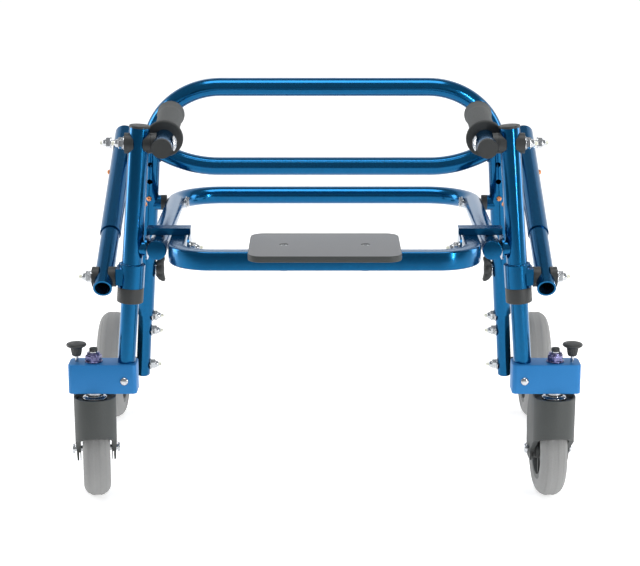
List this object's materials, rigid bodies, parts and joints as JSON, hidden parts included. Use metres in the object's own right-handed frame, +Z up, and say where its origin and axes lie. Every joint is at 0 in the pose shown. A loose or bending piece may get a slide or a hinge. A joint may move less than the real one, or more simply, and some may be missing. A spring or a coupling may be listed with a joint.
{
  "type": "posterior walker",
  "caption": "Posterior walker: blue tube frame open at the front, with flip-up seat, tilting handles, adjustable legs, swivel casters and rear wheels.",
  "frame": {"origin": "on the floor, under the middle of the whole walker", "axes": "+Z up, +Y towards the back rails, +X to the right seen from the open front"},
  "size_m": [0.687, 0.5882, 0.5327],
  "materials": {
    "frame_blue": "gloss metallic",
    "block_blue": "satin",
    "black_plastic": "satin",
    "grip_rubber": "matte",
    "bright_steel": "polished",
    "copper": "satin",
    "hub_grey": "satin",
    "tyre_grey": "matte",
    "seat_board": "matte"
  },
  "bodies": {
    "frame": {"back_frame": "frame_blue", "middle_rail": "frame_blue", "lower_rail": "frame_blue", "left_bracket": "frame_blue", "right_bracket": "frame_blue", "pivot_spacers": "black_plastic", "pivot_bolts": "bright_steel", "left_brace_outer": "frame_blue", "right_brace_outer": "frame_blue"},
    "seat": {"seat_frame": "frame_blue", "seat_board": "seat_board", "seat_screws": "bright_steel"},
    "left_front": {"left_front_post": "frame_blue", "left_post_fittings": "black_plastic", "left_post_saddles": "black_plastic", "left_post_bolts": "bright_steel"},
    "left_handle": {"left_handle_bar": "frame_blue", "left_hand_grip": "grip_rubber", "left_handle_fittings": "black_plastic"},
    "left_leg": {"left_front_leg": "frame_blue", "left_caster_block": "block_blue", "left_block_bolt": "bright_steel"},
    "left_plunger": {"left_lock_plunger": "black_plastic"},
    "left_caster": {"left_caster_fork": "black_plastic", "left_caster_hardware": "bright_steel"},
    "left_caster_roll": {"left_caster_wheel": "hub_grey", "left_caster_tyre": "tyre_grey"},
    "left_rear": {"left_rear_leg": "frame_blue", "left_rear_axle": "bright_steel"},
    "left_rear_roll": {"left_rear_wheel": "hub_grey", "left_rear_tyre": "tyre_grey"},
    "left_brace": {"left_brace_inner": "frame_blue", "left_brace_saddles": "black_plastic"},
    "left_knob": {"left_clamp_knob": "black_plastic"},
    "left_button": {"left_leg_button": "copper"},
    "left_brace_lock": {"left_brace_button": "copper"},
    "right_front": {"right_front_post": "frame_blue", "right_post_fittings": "black_plastic", "right_post_saddles": "black_plastic", "right_post_bolts": "bright_steel"},
    "right_handle": {"right_handle_bar": "frame_blue", "right_hand_grip": "grip_rubber", "right_handle_fittings": "black_plastic"},
    "right_leg": {"right_front_leg": "frame_blue", "right_caster_block": "block_blue", "right_block_bolt": "bright_steel"},
    "right_plunger": {"right_lock_plunger": "black_plastic"},
    "right_caster": {"right_caster_fork": "black_plastic", "right_caster_hardware": "bright_steel"},
    "right_caster_roll": {"right_caster_wheel": "hub_grey", "right_caster_tyre": "tyre_grey"},
    "right_rear": {"right_rear_leg": "frame_blue", "right_rear_axle": "bright_steel"},
    "right_rear_roll": {"right_rear_wheel": "hub_grey", "right_rear_tyre": "tyre_grey"},
    "right_brace": {"right_brace_inner": "frame_blue", "right_brace_saddles": "black_plastic"},
    "right_knob": {"right_clamp_knob": "black_plastic"},
    "right_button": {"right_leg_button": "copper"},
    "right_brace_lock": {"right_brace_button": "copper"}
  },
  "joints": [
    {"name": "seat_flip", "type": "hinge", "parent": "frame", "child": "seat", "pos_m": [0, -0.15714, 0.346], "axis": [-1, 0, 0], "range_deg": [0, 95]},
    {"name": "left_fold", "type": "hinge", "parent": "frame", "child": "left_front", "pos_m": [-0.233, -0.15714, 0.346], "axis": [1, 0, 0], "range_deg": [0, 45]},
    {"name": "left_brace_slide", "type": "slide", "parent": "frame", "child": "left_brace", "axis": [0, 0.9016, 0.4325], "range_m": [0, 0.02905]},
    {"name": "left_handle_tilt", "type": "hinge", "parent": "left_front", "child": "left_handle", "pos_m": [-0.20436, -0.15714, 0.482], "axis": [1, 0, 0], "range_deg": [-30, 15]},
    {"name": "left_leg_height", "type": "slide", "parent": "left_front", "child": "left_leg", "axis": [-0.0802, 0, -0.9968], "range_m": [-0.027, 0.054]},
    {"name": "left_swivel_lock", "type": "slide", "parent": "left_leg", "child": "left_plunger", "axis": [0, 0, 1], "range_m": [0, 0.008], "stiffness_N_per_m": 400, "springref_m": -0.004},
    {"name": "left_caster_swivel", "type": "hinge", "parent": "left_leg", "child": "left_caster", "pos_m": [-0.301, -0.15714, 0.15], "axis": [0, 0, 1], "continuous": true},
    {"name": "left_caster_spin", "type": "hinge", "parent": "left_caster", "child": "left_caster_roll", "pos_m": [-0.30557, -0.12244, 0.0635], "axis": [-0.9914, -0.1305, 0], "continuous": true},
    {"name": "left_rear_height", "type": "slide", "parent": "frame", "child": "left_rear", "axis": [-0.0802, 0.2747, -0.9582], "range_m": [-0.027, 0.054]},
    {"name": "left_wheel_spin", "type": "hinge", "parent": "left_rear", "child": "left_rear_roll", "pos_m": [-0.3195, 0.21414, 0.08], "axis": [1, 0, 0], "continuous": true},
    {"name": "left_clamp_turn", "type": "hinge", "parent": "frame", "child": "left_knob", "pos_m": [-0.26087, 0.16826, 0.24], "axis": [1, 0, 0], "range_deg": [0, 360]},
    {"name": "left_height_button", "type": "slide", "parent": "frame", "child": "left_button", "axis": [0, 0.9613, 0.2756], "range_m": [0, 0.003], "stiffness_N_per_m": 300, "springref_m": -0.003},
    {"name": "left_brace_release", "type": "slide", "parent": "frame", "child": "left_brace_lock", "axis": [1, 0, 0], "range_m": [0, 0.003], "stiffness_N_per_m": 300, "springref_m": -0.003},
    {"name": "right_fold", "type": "hinge", "parent": "frame", "child": "right_front", "pos_m": [0.233, -0.15714, 0.346], "axis": [1, 0, 0], "range_deg": [0, 45]},
    {"name": "right_brace_slide", "type": "slide", "parent": "frame", "child": "right_brace", "axis": [0, 0.9016, 0.4325], "range_m": [0, 0.02905]},
    {"name": "right_handle_tilt", "type": "hinge", "parent": "right_front", "child": "right_handle", "pos_m": [0.20436, -0.15714, 0.482], "axis": [1, 0, 0], "range_deg": [-30, 15]},
    {"name": "right_leg_height", "type": "slide", "parent": "right_front", "child": "right_leg", "axis": [0.0802, 0, -0.9968], "range_m": [-0.027, 0.054]},
    {"name": "right_swivel_lock", "type": "slide", "parent": "right_leg", "child": "right_plunger", "axis": [0, 0, 1], "range_m": [0, 0.008], "stiffness_N_per_m": 400, "springref_m": -0.004},
    {"name": "right_caster_swivel", "type": "hinge", "parent": "right_leg", "child": "right_caster", "pos_m": [0.301, -0.15714, 0.15], "axis": [0, 0, 1], "continuous": true},
    {"name": "right_caster_spin", "type": "hinge", "parent": "right_caster", "child": "right_caster_roll", "pos_m": [0.29935, -0.12218, 0.0635], "axis": [0.9989, 0.0471, 0], "continuous": true},
    {"name": "right_rear_height", "type": "slide", "parent": "frame", "child": "right_rear", "axis": [0.0802, 0.2747, -0.9582], "range_m": [-0.027, 0.054]},
    {"name": "right_wheel_spin", "type": "hinge", "parent": "right_rear", "child": "right_rear_roll", "pos_m": [0.3195, 0.21414, 0.08], "axis": [1, 0, 0], "continuous": true},
    {"name": "right_clamp_turn", "type": "hinge", "parent": "frame", "child": "right_knob", "pos_m": [0.26087, 0.16826, 0.24], "axis": [1, 0, 0], "range_deg": [0, 360]},
    {"name": "right_height_button", "type": "slide", "parent": "frame", "child": "right_button", "axis": [0, 0.9613, 0.2756], "range_m": [0, 0.003], "stiffness_N_per_m": 300, "springref_m": -0.003},
    {"name": "right_brace_release", "type": "slide", "parent": "frame", "child": "right_brace_lock", "axis": [-1, 0, 0], "range_m": [0, 0.003], "stiffness_N_per_m": 300, "springref_m": -0.003}
  ],
  "couplings": [
    {"joint": "left_brace_slide", "follows": "left_fold", "m_per_rad": 0.03697},
    {"joint": "right_brace_slide", "follows": "right_fold", "m_per_rad": 0.03697}
  ]
}
